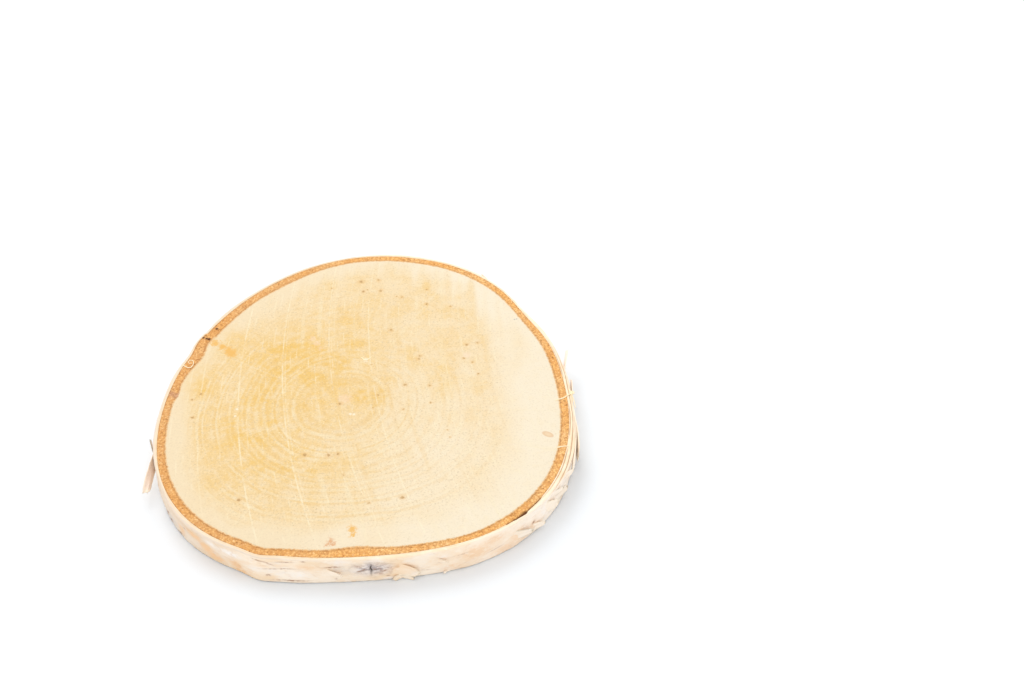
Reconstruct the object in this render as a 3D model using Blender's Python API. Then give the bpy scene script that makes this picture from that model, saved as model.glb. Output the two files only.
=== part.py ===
"""A thin slice sawn across a birch trunk, with its bark left on and a few strips of it peeling.

Metres, +Z up. The slice lies flat, +X is the right of the photo and +Y points away from the camera.
Headings are counted from +X towards +Y, in degrees, round the middle of the outline."""

import math

import bmesh
import bpy
from mathutils import Matrix, Vector

MM = 0.001

# The whole slice
THICKNESS = 8.5 * MM
MEAN_RADIUS = 55.4 * MM
# A trunk is never round: (how many bulges, how far they stand out in mm, heading of one of them)
BULGES = ((1, 1.2, -175), (2, 2.0, 82), (3, 2.2, -30), (4, 0.85, -42), (5, 0.35, 20))
# Flatter places: (how far in, in mm, heading, spread)
FLATS = ((1.3, 39, 11), (0.5, 84, 14), (0.8, 161, 5))
STEP_AT_NOTCH = 0.9 * MM
CORNER = 0.7 * MM

# The bark
INNER_BARK = 2.3 * MM
# Where the inner bark is thicker, or thinner where negative: (mm, heading, spread)
THICKER = (
    (0.8, 122, 12), (0.8, 146, 12), (1.2, 163, 8), (0.5, 179, 2.5), (1.0, 270, 6), (-0.4, 300, 9), (-0.3, 42, 9),
)
RECESS = 0.25 * MM
OUTER_BARK = 1.1 * MM
PILED_LAYERS = 0.6 * MM
LIP_DROP = 0.1 * MM
FOOT_LEAN = 0.3 * MM
# Where the foot of the rim stands further out: (mm, heading, spread)
FOOT_SPREADS = ((0.8, 249, 11), (0.7, 298, 10))
SCAR_COLLAR = 0.35 * MM
SCAR_CRACK = 0.8 * MM

# How finely it is built
AROUND = 240
WALL_HEIGHTS = (0.94, 0.82, 0.66, 0.5, 0.34, 0.18, 0.06)
LEAF = 0.65 * MM

# Strips of bark that stand off the rim, each as
# (root heading, tip heading, stand-off at the tip, bottom and top at the root, bottom and top at the tip),
# the lengths in mm and the heights from the ground
STRIPS = {
    "left strip": (196.5, 208.0, 2.7, (1.6, 6.8), (2.4, 4.8)),
    "left nub": (202.5, 194.5, 0.4, (4.6, 7.9), (6.0, 7.7)),
    "long leaf": (-5.0, -21.5, 1.2, (0.8, 7.9), (1.4, 7.6)),
    "leaf behind it": (-3.0, 9.5, 0.7, (1.0, 7.9), (3.2, 7.7)),
    "free sliver": (10.5, 20.5, 3.0, (5.0, 7.9), (6.6, 7.5)),
    "torn tooth 1": (-34.0, -26.5, 1.1, (1.6, 6.6), (3.0, 5.2)),
    "torn tooth 2": (-40.0, -32.5, 1.2, (2.4, 7.2), (3.6, 5.8)),
    "torn tooth 3": (-50.5, -44.5, 0.7, (1.6, 5.4), (2.4, 3.8)),
    "front flake": (277.5, 285.4, 0.9, (0.4, 7.4), (1.2, 4.0)),
    "lens flake": (262.0, 266.5, 0.5, (2.6, 5.4), (3.2, 4.4)),
    "back fleck": (56.5, 61.5, 0.6, (6.2, 7.9), (6.8, 7.7)),
}


def turn(heading, middle):
    """How far one heading is from another, from -180 to 180 degrees."""
    return (heading - middle + 180) % 360 - 180


def swell(heading, middle, spread):
    """1 at one heading, fading to nothing over a few times the spread."""
    return math.exp(-((turn(heading, middle) / spread) ** 2))


def between(heading, start, end, fade):
    """1 from one heading to another, falling away over the fade at both ends."""
    rise = 1 / (1 + math.exp(-turn(heading, start) / fade))
    fall = 1 / (1 + math.exp(turn(heading, end) / fade))
    return rise * fall


def ring_edge(heading):
    """Radius where the inner bark ends and the outer bark begins."""
    radius = MEAN_RADIUS
    for count, height, first in BULGES:
        radius += height * MM * math.cos(math.radians(count * (heading - first)))
    for depth, middle, spread in FLATS:
        radius -= depth * MM * swell(heading, middle, spread)
    # Above the dark notch the bark steps in, below it the bark steps out
    radius += STEP_AT_NOTCH * swell(heading, 158, 5.5) * (turn(heading, 152.5) > 0)
    radius += CORNER * swell(heading, 246.5, 3.5)
    return radius


def wood_edge(heading):
    """Radius where the wood ends and the inner bark begins."""
    inward = INNER_BARK
    for thicker, middle, spread in THICKER:
        inward += thicker * MM * swell(heading, middle, spread)
    return ring_edge(heading) - inward


def rim(heading, height):
    """Radius of the outside of the bark at a height above the ground."""
    share = height / THICKNESS
    bark = OUTER_BARK + PILED_LAYERS * between(heading, -40, 16, 3)
    # Plates of bark, each a little proud of its neighbours
    bark += 0.14 * MM * math.sin(math.radians(7 * heading + 260 * share))
    bark += 0.10 * MM * math.sin(math.radians(13 * heading - 400 * share + 40))
    # The branch scar at the front: a raised collar with a crack down its middle
    bark += SCAR_COLLAR * swell(heading, 274, 7) * math.sin(math.pi * share)
    bark -= SCAR_CRACK * swell(heading, 273.5, 1.1) * math.sin(math.pi * share)
    for further, middle, spread in FOOT_SPREADS:
        bark += further * MM * swell(heading, middle, spread) * (1 - share)
    return ring_edge(heading) + bark - FOOT_LEAN * (1 - share)


def rows():
    """The rings of points from the top face over the rim to the underside, as (radius, height) rules."""
    top = [
        (wood_edge, THICKNESS),
        (lambda a: wood_edge(a) + 0.12 * MM, THICKNESS - RECESS),
        (lambda a: ring_edge(a) - 0.12 * MM, THICKNESS - RECESS),
        (ring_edge, THICKNESS - LIP_DROP),
        (lambda a: rim(a, THICKNESS) - 0.3 * MM, THICKNESS - LIP_DROP),
    ]
    wall = [(lambda a, h=share * THICKNESS: rim(a, h), share * THICKNESS) for share in WALL_HEIGHTS]
    bottom = [
        (lambda a: rim(a, 0) - 0.3 * MM, LIP_DROP),
        (ring_edge, LIP_DROP),
        (lambda a: ring_edge(a) - 0.12 * MM, RECESS),
        (lambda a: wood_edge(a) + 0.12 * MM, RECESS),
        (wood_edge, 0.0),
    ]
    return top + wall + bottom


def at(radius, heading, height):
    angle = math.radians(heading)
    return Vector((radius * math.cos(angle), radius * math.sin(angle), height))


def material(name, colour, roughness):
    made = bpy.data.materials.new(name)
    made.use_nodes = True
    shader = made.node_tree.nodes["Principled BSDF"]
    shader.inputs["Base Color"].default_value = (*colour, 1)
    shader.inputs["Roughness"].default_value = roughness
    made.diffuse_color = (*colour, 1)
    return made


def object_from(name, bm, materials):
    bmesh.ops.recalc_face_normals(bm, faces=bm.faces)
    mesh = bpy.data.meshes.new(name)
    bm.to_mesh(mesh)
    bm.free()
    for each in materials:
        mesh.materials.append(each)
    made = bpy.data.objects.new(name, mesh)
    bpy.context.scene.collection.objects.link(made)
    return made


def build_disc(materials):
    """Wood, inner bark and outer bark as one closed shape."""
    bm = bmesh.new()
    rings = []
    for radius, height in rows():
        headings = [360 * i / AROUND for i in range(AROUND)]
        rings.append([bm.verts.new(at(radius(a), a, height)) for a in headings])
    last = len(rings) - 2
    for row, (upper, lower) in enumerate(zip(rings, rings[1:])):
        inner = row in (0, 1, 2, last - 2, last - 1, last)
        for i in range(AROUND):
            j = (i + 1) % AROUND
            face = bm.faces.new((upper[i], lower[i], lower[j], upper[j]))
            face.material_index = 1 if inner else 2
    for ring in (rings[0], rings[-1]):
        bm.faces.new(ring).material_index = 0
    return object_from("birch_slice", bm, materials)


def build_strip(name, shape, materials):
    """One strip of bark: rooted inside the rim, curling away from it and narrowing to its tip."""
    root, tip, stand_off, root_span, tip_span = shape
    steps = max(6, round(abs(tip - root) / 2))
    bm = bmesh.new()
    stations = []
    for i in range(steps + 1):
        s = i / steps
        heading = root + (tip - root) * s
        off = -0.45 * MM + (stand_off * MM + 0.45 * MM) * s**1.4
        low = (root_span[0] + (tip_span[0] - root_span[0]) * s) * MM
        high = (root_span[1] + (tip_span[1] - root_span[1]) * s) * MM
        inside = rim(heading, THICKNESS / 2) + off
        corners = ((inside, low), (inside + LEAF, low), (inside + LEAF, high), (inside, high))
        stations.append([bm.verts.new(at(radius, heading, height)) for radius, height in corners])
    for here, there in zip(stations, stations[1:]):
        for k in range(4):
            n = (k + 1) % 4
            bm.faces.new((here[k], here[n], there[n], there[k]))
    bm.faces.new(stations[0])
    bm.faces.new(stations[-1])
    for face in bm.faces:
        face.material_index = 2
    return object_from(name, bm, materials)


def fuse(body, pieces):
    """Join the pieces to the body in one Boolean and keep the result as the body's mesh."""
    group = bpy.data.collections.new("strips")
    bpy.context.scene.collection.children.link(group)
    for piece in pieces:
        bpy.context.scene.collection.objects.unlink(piece)
        group.objects.link(piece)
    union = body.modifiers.new("strips", "BOOLEAN")
    union.operation = "UNION"
    union.operand_type = "COLLECTION"
    union.collection = group
    union.solver = "EXACT"
    depsgraph = bpy.context.evaluated_depsgraph_get()
    joined = bpy.data.meshes.new_from_object(body.evaluated_get(depsgraph))
    body.modifiers.clear()
    body.data = joined
    for piece in pieces:
        bpy.data.objects.remove(piece)
    bpy.data.collections.remove(group)


def centre_over_origin(body):
    """Put the middle of the slice's box over the origin, with its underside on the ground."""
    xs = [v.co.x for v in body.data.vertices]
    ys = [v.co.y for v in body.data.vertices]
    zs = [v.co.z for v in body.data.vertices]
    middle = Vector(((min(xs) + max(xs)) / 2, (min(ys) + max(ys)) / 2, min(zs)))
    body.data.transform(Matrix.Translation(-middle))


for old in list(bpy.data.objects):
    bpy.data.objects.remove(old)

looks = [
    material("sawn birch wood", (0.86, 0.64, 0.36), 0.7),
    material("inner bark", (0.62, 0.28, 0.09), 0.85),
    material("outer bark", (0.84, 0.68, 0.55), 0.75),
]
birch_slice = build_disc(looks)
strips = [build_strip(name, shape, looks) for name, shape in STRIPS.items()]
fuse(birch_slice, strips)
centre_over_origin(birch_slice)
birch_slice.data.shade_smooth()
birch_slice.data.set_sharp_from_angle(angle=math.radians(35))
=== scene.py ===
# %% [markdown]
# # A birch slice with its bark on
#
# The real thing is a disc about 11 cm wide and under 1 cm thick, sawn straight across a young birch.
# Three layers show on it: pale wood with its growth rings, a narrow orange ring of inner bark,
# and the thin papery outer bark, which has started to peel.
# The measured solid is loaded first as a fixed frame. Every piece made below is a finer skin for it.

# %% Load the measured slice
import math

import bpy
import numpy as np
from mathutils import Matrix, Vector, noise


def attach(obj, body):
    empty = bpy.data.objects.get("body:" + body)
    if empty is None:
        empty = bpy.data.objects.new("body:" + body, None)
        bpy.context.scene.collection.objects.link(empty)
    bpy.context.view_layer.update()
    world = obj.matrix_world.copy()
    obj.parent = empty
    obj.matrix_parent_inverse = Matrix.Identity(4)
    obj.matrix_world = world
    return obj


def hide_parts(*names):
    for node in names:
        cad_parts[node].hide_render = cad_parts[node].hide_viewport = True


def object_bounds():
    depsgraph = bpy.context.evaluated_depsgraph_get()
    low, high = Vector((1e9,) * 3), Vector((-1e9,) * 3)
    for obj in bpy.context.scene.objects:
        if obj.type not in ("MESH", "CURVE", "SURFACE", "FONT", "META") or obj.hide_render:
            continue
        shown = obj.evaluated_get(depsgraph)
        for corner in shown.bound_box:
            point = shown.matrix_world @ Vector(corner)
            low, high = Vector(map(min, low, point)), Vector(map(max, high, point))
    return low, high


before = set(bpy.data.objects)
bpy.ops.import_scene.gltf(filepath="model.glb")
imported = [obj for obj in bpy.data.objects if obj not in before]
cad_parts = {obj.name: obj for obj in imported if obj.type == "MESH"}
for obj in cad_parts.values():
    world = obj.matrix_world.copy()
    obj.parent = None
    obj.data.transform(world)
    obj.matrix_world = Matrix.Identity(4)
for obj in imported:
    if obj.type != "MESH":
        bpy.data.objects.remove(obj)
cad_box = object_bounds()
print("measured slice, mm:", [round(side * 1000, 1) for side in cad_box[1] - cad_box[0]])

# %% [markdown]
# ## The outline
#
# A trunk is never round. Its outline could be drawn by hand as a curve, but a few slow waves added
# to a mean radius give the same shape, and they can be asked for at any heading.
# Headings are degrees counted from the right of the slice towards its far side, lengths are millimetres.
# Two places break the smooth curve: the bark steps outward at a dark notch on the upper left,
# and it turns a small corner at the front left. Elsewhere the curve is pressed a little flatter,
# and the inner bark is thicker in some places than in others.

# %% Outline rules
MM = 0.001
MEAN_RADIUS = 55.4
# How many bulges, how far they stand out, and the heading of one of them
BULGES = ((1, 1.2, -175), (2, 2.0, 82), (3, 2.2, -30), (4, 0.85, -42), (5, 0.35, 20))
# How far in, heading and spread
FLATS = ((1.3, 39, 11), (0.5, 84, 14), (0.8, 161, 5))
INNER_BARK_WIDTH = 2.3
# Where the inner bark is thicker, or thinner where negative: how much, heading and spread
THICKER = (
    (0.8, 122, 12), (0.8, 146, 12), (1.2, 163, 8), (0.5, 179, 2.5), (1.0, 270, 6), (-0.4, 300, 9),
    (-0.3, 42, 9),
)
OUTER_BARK_DEPTH = 1.1
STEP_AT_NOTCH = 0.9
CORNER = 0.7
# Where the foot of the rim stands further out: how far, heading and spread
FOOT_SPREADS = ((0.8, 249, 11), (0.7, 298, 10))


def turn(heading, middle):
    """How far one heading is from another, from -180 to 180 degrees."""
    return (heading - middle + 180) % 360 - 180


def swell(heading, middle, spread):
    """1 at one heading, fading to nothing over a few times the spread."""
    return np.exp(-((turn(heading, middle) / spread) ** 2))


def between(heading, start, end, fade):
    """1 from one heading to another, falling away over the fade at both ends."""
    rise = 1 / (1 + np.exp(-turn(heading, start) / fade))
    fall = 1 / (1 + np.exp(turn(heading, end) / fade))
    return rise * fall


def trunk(heading):
    """The trunk's slow bulges, without the step and the corner of its bark."""
    radius = MEAN_RADIUS + 0 * heading
    for count, height, first in BULGES:
        radius = radius + height * np.cos(np.radians(count * (heading - first)))
    return radius


def ring_edge(heading):
    """Radius where the inner bark ends and the outer bark begins."""
    radius = trunk(heading)
    for depth, middle, spread in FLATS:
        radius = radius - depth * swell(heading, middle, spread)
    step = STEP_AT_NOTCH * swell(heading, 158, 5.5) * (turn(heading, 152.5) > 0)
    return radius + step + CORNER * swell(heading, 246.5, 3.5)


def wood_edge(heading):
    """Radius where the wood ends and the inner bark begins."""
    inward = INNER_BARK_WIDTH
    for thicker, middle, spread in THICKER:
        inward = inward + thicker * swell(heading, middle, spread)
    return ring_edge(heading) - inward


print("radius of the wood at the right and at the back, mm:", wood_edge(0.0), wood_edge(90.0))

# %% [markdown]
# ## Where the outline sits in the frame
#
# The frame's origin is under the middle of the slice's box, and the outline's own middle is not.
# The shift between them could be typed in, but it is safer to measure it:
# the points of the solid's top face lie on the wood's edge, so their extremes
# are compared with the extremes of the rule.

# %% Measure the shift
solid_points = np.array([v.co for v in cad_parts["birch_slice"].data.vertices]) / MM
TOP = float(solid_points[:, 2].max())
on_top = solid_points[solid_points[:, 2] > TOP - 0.001]
rule_headings = np.arange(0, 360, 1.5)
rule_x = wood_edge(rule_headings) * np.cos(np.radians(rule_headings))
rule_y = wood_edge(rule_headings) * np.sin(np.radians(rule_headings))
MIDDLE = (float(on_top[:, 0].max() - rule_x.max()), float(on_top[:, 1].max() - rule_y.max()))


def place(radius, heading, height):
    """Points in the frame, in metres, from radius and height in mm and heading in degrees."""
    angle = np.radians(heading)
    x = radius * np.cos(angle) + MIDDLE[0]
    y = radius * np.sin(angle) + MIDDLE[1]
    return np.stack(np.broadcast_arrays(x, y, height), axis=-1) * MM


print("thickness", round(TOP, 2), "mm, outline's middle at", [round(m, 2) for m in MIDDLE], "mm")

# %% [markdown]
# ## The rim
#
# The outside of the bark follows the outline with plates that stand a little proud of each other.
# On the right the papery layers are piled up, and at the front a branch scar has a raised collar
# round a deep crack. The rule is the same one that shaped the solid, so the two skins agree.

# %% Rim rule
PILED_LAYERS = 0.6
SCAR_COLLAR = 0.35
FOOT_LEAN = 0.3


def rim(heading, height):
    """Radius of the outside of the bark at a height above the ground."""
    share = height / TOP
    bark = OUTER_BARK_DEPTH + PILED_LAYERS * between(heading, -40, 16, 3)
    bark = bark + 0.14 * np.sin(np.radians(7 * heading + 260 * share))
    bark = bark + 0.10 * np.sin(np.radians(13 * heading - 400 * share + 40))
    bark = bark + SCAR_COLLAR * swell(heading, 274, 7) * np.sin(math.pi * share)
    for further, middle, spread in FOOT_SPREADS:
        bark = bark + further * swell(heading, middle, spread) * (1 - share)
    return ring_edge(heading) + bark - FOOT_LEAN * (1 - share)


print("rim at the front, top and foot, mm:", rim(270.0, TOP), rim(270.0, 0.0))

# %% [markdown]
# ## Turning rings of points into a skin
#
# Every layer of the slice goes round, so each can be made as rings of points joined by four-sided faces.
# Blender could spin a profile, but a spun profile is the same at every heading. Rings whose
# radius and height are worked out point by point can carry every dent of the real thing.
# A ring-shaped layer joins its last ring back to its first. A disc closes with a point at each end.

# %% Skin helper


def skin(name, rings, ends=None):
    """A smooth mesh object from rings of points, closed by two end points or by joining last to first."""
    count, around = rings.shape[:2]
    here = np.arange(around)
    beyond = (here + 1) % around
    faces = []
    for row in range(count if ends is None else count - 1):
        a, b = row * around, ((row + 1) % count) * around
        faces += np.stack([a + here, b + here, b + beyond, a + beyond], axis=1).tolist()
    points = rings.reshape(-1, 3)
    if ends is not None:
        first, last = len(points), len(points) + 1
        points = np.concatenate([points, np.asarray(ends)])
        tail = (count - 1) * around
        faces += [[first, int(i), int(j)] for i, j in zip(here, beyond)]
        faces += [[last, int(tail + j), int(tail + i)] for i, j in zip(here, beyond)]
    mesh = bpy.data.meshes.new(name)
    mesh.from_pydata(points.tolist(), [], faces)
    mesh.shade_smooth()
    piece = bpy.data.objects.new(name, mesh)
    bpy.context.scene.collection.objects.link(piece)
    print(name, "has", len(mesh.vertices), "points and", len(mesh.polygons), "faces")
    return piece


def note(piece, name, values):
    """Store one number per point on the mesh, for the material to read."""
    layer = piece.data.attributes.new(name, "FLOAT", "POINT")
    layer.data.foreach_set("value", np.asarray(values, dtype=np.float32).ravel())


def ripple(x, y, z, seed=0.0):
    """Smooth noise from about -1 to 1, one value for each point of three arrays."""
    x, y, z = np.broadcast_arrays(x, y, z)
    flat = zip(x.ravel().tolist(), y.ravel().tolist(), z.ravel().tolist())
    return np.array([noise.noise(Vector((a + seed, b - seed, c))) for a, b, c in flat]).reshape(x.shape)


# %% [markdown]
# ## The sawn wood
#
# The tree grew outward from its pith, which is not in the middle: the rings are wider on the right.
# The disc is built the way the tree grew, as rings that start round at the pith
# and take on the trunk's outline as they near the bark.
# Each point keeps its growth (0 at the pith, 1 under the bark), so that the material can draw
# year rings that follow the outline. A picture could do that too, but it would not follow the shape.
# The saw left long shallow arcs right across the face, so each point also keeps its place across them.

# %% Build the wood
PITH = (-8.2, -3.0)
AROUND_WOOD = 480
SAW_BOW = 0.00243
SAW_LEAN = 0.21
# The arcs at the left lean more, and draw together towards the far side
SAW_LEAN_LEFT = 0.25
SAW_DRAWN_TOGETHER = 0.004
LEFT_ARCS_END = -10
WORN_EDGE = 0.05
wood_heading = np.arange(AROUND_WOOD) * 360 / AROUND_WOOD


def on_outline(edge):
    """The points of one outline rule, as x and y in mm."""
    angle = np.radians(wood_heading)
    return edge(wood_heading) * np.cos(angle), edge(wood_heading) * np.sin(angle)


def wood_rings(shares, height):
    """Rings of the wood from pith to bark at one height, as x, y, growth and height."""
    edge_x, edge_y = on_outline(wood_edge)
    ragged = 0.10 * ripple(edge_x * 1.3, edge_y * 1.3, 0.0, 5.0)
    ragged = ragged + 0.05 * ripple(edge_x * 4, edge_y * 4, 0.0, 9.0)
    growth = np.asarray(shares)[:, None]
    angle = np.radians(wood_heading)
    only_at_edge = growth**12 * ragged
    x = PITH[0] + growth * (edge_x - PITH[0]) + only_at_edge * np.cos(angle)
    y = PITH[1] + growth * (edge_y - PITH[1]) + only_at_edge * np.sin(angle)
    return x, y, growth + 0 * x, height + 0 * x


def across_saw(x, y):
    """Place across the saw's arcs, which run from far to near and lean to the right as they come.

    It is the x at which the arc through a point crosses the middle of the slice."""
    bowed = x - SAW_BOW * y**2
    on_left = (bowed + SAW_LEAN_LEFT * y) / (1 - SAW_DRAWN_TOGETHER * y)
    return np.where(on_left < LEFT_ARCS_END, on_left, bowed + SAW_LEAN * y)


def years_grown(x, y, growth):
    """0 at the pith and 1 under the bark, round at first and taking on the trunk's own outline later."""
    from_pith = np.hypot(x - PITH[0], y - PITH[1])
    trunk_x, trunk_y = on_outline(lambda heading: trunk(heading) - INNER_BARK_WIDTH)
    reach = np.hypot(trunk_x - PITH[0], trunk_y - PITH[1])
    return from_pith / (reach.mean() + (reach - reach.mean()) * growth**1.5)


top_shares = np.concatenate([np.linspace(0.012, 0.985, 104), [0.993, 0.998, 1.0]])
x_up, y_up, growth_up, height_up = wood_rings(top_shares, TOP)
grain_relief = 0.025 * ripple(x_up * 0.25, y_up * 0.12, 0.0, 3.0)
grain_relief = grain_relief + 0.012 * ripple(x_up * 1.1, y_up * 1.1, 0.0, 7.0)
height_up = height_up + grain_relief - WORN_EDGE * np.clip((growth_up - 0.99) / 0.01, 0, 1)
low_shares = np.concatenate([[1.0, 0.998, 0.99], np.linspace(0.97, 0.03, 40)])
x_low, y_low, growth_low, height_low = wood_rings(low_shares, 0.0)
height_low = height_low + 0.04 * np.clip((growth_low - 0.99) / 0.01, 0, 1)
x_side, y_side, growth_side, height_side = wood_rings([1.0, 1.0, 1.0], 0.0)
height_side = height_side + np.array([0.9, 0.5, 0.1])[:, None] * TOP
x = np.concatenate([x_up, x_side, x_low])
y = np.concatenate([y_up, y_side, y_low])
height = np.concatenate([height_up, height_side, height_low])
growth = np.concatenate([growth_up, growth_side, growth_low])
points = np.stack([x + MIDDLE[0], y + MIDDLE[1], height], axis=-1) * MM
pith_ends = [((PITH[0] + MIDDLE[0]) * MM, (PITH[1] + MIDDLE[1]) * MM, level * MM) for level in (TOP, 0.0)]
sawn_wood = skin("sawn_wood", points, pith_ends)
saw = across_saw(x, y)
saw_at_pith = float(across_saw(*PITH))
note(sawn_wood, "growth", np.append(years_grown(x, y, growth).ravel(), [0, 0]))
note(sawn_wood, "saw", np.append(saw.ravel(), [saw_at_pith, saw_at_pith]))

# %% [markdown]
# ## Where the wood is yellow
#
# The heart of the slice has taken on a yellow tint, deepest on the left and above the pith,
# and the youngest wood under the bark has stayed cream. The heart ends where a certain year's growth
# ends, sooner on the right, and at the far side its edge runs out in fingers along the saw's arcs.
# Inside it the tint is a sum of soft clouds, which thicken or thin the yellow.
# It could be painted by hand, but clouds are easy to move while comparing with the real thing.

# %% Tint clouds
# Each as (x, y, half width, half depth, strength)
YELLOW_CLOUDS = (
    (-22, 13.5, 12, 11, 0.69), (-37, 22, 6, 7, 0.18), (-33, -14, 8, 20, 0.42), (-24, -4, 9, 12, 0.34),
    (-8, 2, 12, 10, 0.34), (0.5, -0.2, 3.8, 5, 0.62), (-10, -26, 20, 10, 0.26), (-18, -24, 6.5, 5.2, 0.28),
    (-15, -8, 9, 5.5, 0.14), (-6, 26, 22, 14, 0.16), (-8, 18, 5.2, 7, 0.36), (-7, 33, 8, 6, 0.19),
    (9, 14.5, 6, 6, 0.18), (18, 7.5, 4.4, 8, 0.31), (20, 30, 9, 12, 0.12), (8, 38, 18, 7, 0.07),
    (29, 12, 3, 18, 0.10), (32, -8, 5, 12, 0.15), (17, -22, 12, 9, -0.20), (6.5, -31, 8, 7, -0.20),
    (32, -18, 6, 8, -0.10), (20, -37, 13, 6, -0.14), (-33, 35, 7, 6, -0.28), (-32, 24, 5, 5, -0.18),
    (-32, -34, 6, 5, -0.10), (-31, 0, 4, 5, -0.13), (24, 0, 3, 5, -0.10),
    (12.5, 44, 2.2, 7, 0.24), (22.5, 40, 2.4, 8, 0.22), (40, 16, 1.6, 8, 0.16), (-15, 48, 1.4, 6, 0.16),
)
SAPWOOD_CLOUDS = (
    (-46, 5, 4, 9, 0.50), (-41, 24, 3, 4, 0.22), (-43, -8, 3, 10, 0.14), (-38, -34, 4, 6, 0.16),
    (4, -48, 5, 3, 0.20), (38, 40, 4, 6, 0.10), (39.5, 17, 2.5, 7, 0.13),
)


def heart_of(x, y, growth):
    """1 in the yellow heart, 0 in the cream wood round it."""
    spoke = np.degrees(np.arctan2(y - PITH[1], x - PITH[0]))
    edge = 0.89 - 0.14 * swell(spoke, 2, 25) + 0.05 * swell(spoke, 78, 25) + 0.05 * swell(spoke, 145, 18)
    edge = edge - 0.05 * swell(spoke, 300, 40) + 0.05 * ripple(x * 0.10, y * 0.10, 0.0, 31.0)
    fingers = 0.11 * ripple(across_saw(x, y) * 0.42, y * 0.02, 0.0, 33.0) * np.clip((y - 15) / 25, 0, 1)
    softness = 0.09 + 0.09 * swell(spoke, 0, 60)
    return np.clip((edge + fingers - growth) / softness + 0.5, 0, 1)


def clouds(x, y, listed):
    """The listed clouds added up at each point."""
    total = 0 * x
    for middle_x, middle_y, wide, deep, strength in listed:
        total = total + strength * np.exp(-(((x - middle_x) / wide) ** 2) - ((y - middle_y) / deep) ** 2)
    return total


heart = heart_of(x, y, growth)
yellow = (0.30 + clouds(x, y, YELLOW_CLOUDS)) * heart + clouds(x, y, SAPWOOD_CLOUDS)
note(sawn_wood, "yellow", np.append(yellow.ravel(), [0.5, 0.5]))
note(sawn_wood, "heart", np.append(heart.ravel(), [1, 1]))
print("yellow tint runs from", round(float(yellow.min()), 2), "to", round(float(yellow.max()), 2))

# %% [markdown]
# ## The inner bark
#
# Between wood and bark runs an orange-brown ring a little over 2 mm wide. The saw leaves it crumbly
# and slightly lower than the wood, with loose crumbs heaped over the wood's edge.
# It is a ring of its own whose grainy surface dips under the wood, so the line where they meet is ragged.
# A smooth ring with a bumpy material would meet the wood in a clean curve, which no saw leaves.
# At the lower right a short dark gap has opened between this layer and the outer bark.

# %% Build the inner bark
AROUND_BARK = 1440
bark_heading = np.arange(AROUND_BARK) * 360 / AROUND_BARK
arc_x = 55 * np.cos(np.radians(bark_heading))
arc_y = 55 * np.sin(np.radians(bark_heading))


def ragged_edge(seed, coarse, fine):
    """How far a torn line wanders, in broad and in fine teeth."""
    broad = ripple(arc_x * 1.1, arc_y * 1.1, 0.0, seed)
    return coarse * broad + fine * ripple(arc_x * 3.6, arc_y * 3.6, 0.0, seed)


CRUMBS_OVER_WOOD = 0.75
crumb_line = wood_edge(bark_heading) + 0.04 + ragged_edge(2.0, 0.22, 0.26)
# The gap widens slowly, ends abruptly, and runs on as a hairline at both ends
GAP_WIDTH = 0.62
HAIRLINE = 0.20
THINNEST_SHOWN = 0.08
gap_opening = np.clip(turn(bark_heading, 311) / 4, 0, 1) * between(bark_heading, 310, 315.4, 0.15)
gap_width = GAP_WIDTH * gap_opening + HAIRLINE * between(bark_heading, 309, 321.5, 0.6)


def gap(radius):
    """1 in the dark gap between inner and outer bark."""
    away = np.abs(radius - ring_edge(bark_heading))
    return np.clip(1.5 - away / (0.5 * gap_width + 0.01), 0, 1) * (gap_width > THINNEST_SHOWN)


inside = wood_edge(bark_heading) - CRUMBS_OVER_WOOD
outside = ring_edge(bark_heading) + 0.12 + ragged_edge(4.0, 0.06, 0.06)
crumb_rows = []
crumb_across = []
crumb_gap = []
for share in np.linspace(0, 1, 15):
    radius = inside + share * (outside - inside)
    grain_x = radius * np.cos(np.radians(bark_heading))
    grain_y = radius * np.sin(np.radians(bark_heading))
    grain = 0.08 * ripple(grain_x * 2.4, grain_y * 2.4, 0.0, 1.0)
    grain = grain + 0.06 * ripple(grain_x * 5, grain_y * 5, 0.0, 6.0)
    past_line = radius - crumb_line
    heaped = 0.15 * np.exp(-((past_line / 0.30) ** 2)) - 0.5 * np.clip(-past_line, 0, 1)
    outer_drop = 0.16 * (share == 1) + 0.5 * gap(radius)
    crumb_rows.append(place(radius, bark_heading, TOP - 0.11 + grain + heaped - outer_drop))
    crumb_gap.append(gap(radius))
    crumb_across.append(np.clip((radius - crumb_line) / (outside - crumb_line), 0, 1))
# Down the outside, along the underside and up again, as shares of the way across and of the height
ROUND_BELOW = ((1, 0.75), (1, 0.25), (1, 0.03), (0.7, 0.02), (0.3, 0.02), (0, 0.03), (0, 0.25), (0, 0.75))
for share, level in ROUND_BELOW:
    radius = inside + share * (outside - inside)
    crumb_rows.append(place(radius, bark_heading, TOP * level + 0.03 * ripple(arc_x * 2, arc_y * 2, level)))
    crumb_across.append(share + 0 * radius)
    crumb_gap.append(0 * radius)
inner_bark = skin("inner_bark", np.stack(crumb_rows))
note(inner_bark, "across", np.stack(crumb_across))
note(inner_bark, "gap", np.stack(crumb_gap))

# %% [markdown]
# ## The outer bark
#
# Birch bark is many paper-thin layers wrapped round the trunk. Where a layer has torn away the next
# one shows, so the surface has low terraces that run round the trunk, with crisp torn edges.
# Short raised lines, the pores that the bark breathes through, run the same way.
# At the front a branch once stood: its scar is grey and wrinkled, with a deep upright crack.
# All of this is real shape here, because it shows at the slice's edge. Masks of where it lies
# are kept on the points for the material.

# %% Bark relief rules
TERRACE_STEPS = 3
PORE_LINES = 70
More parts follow.
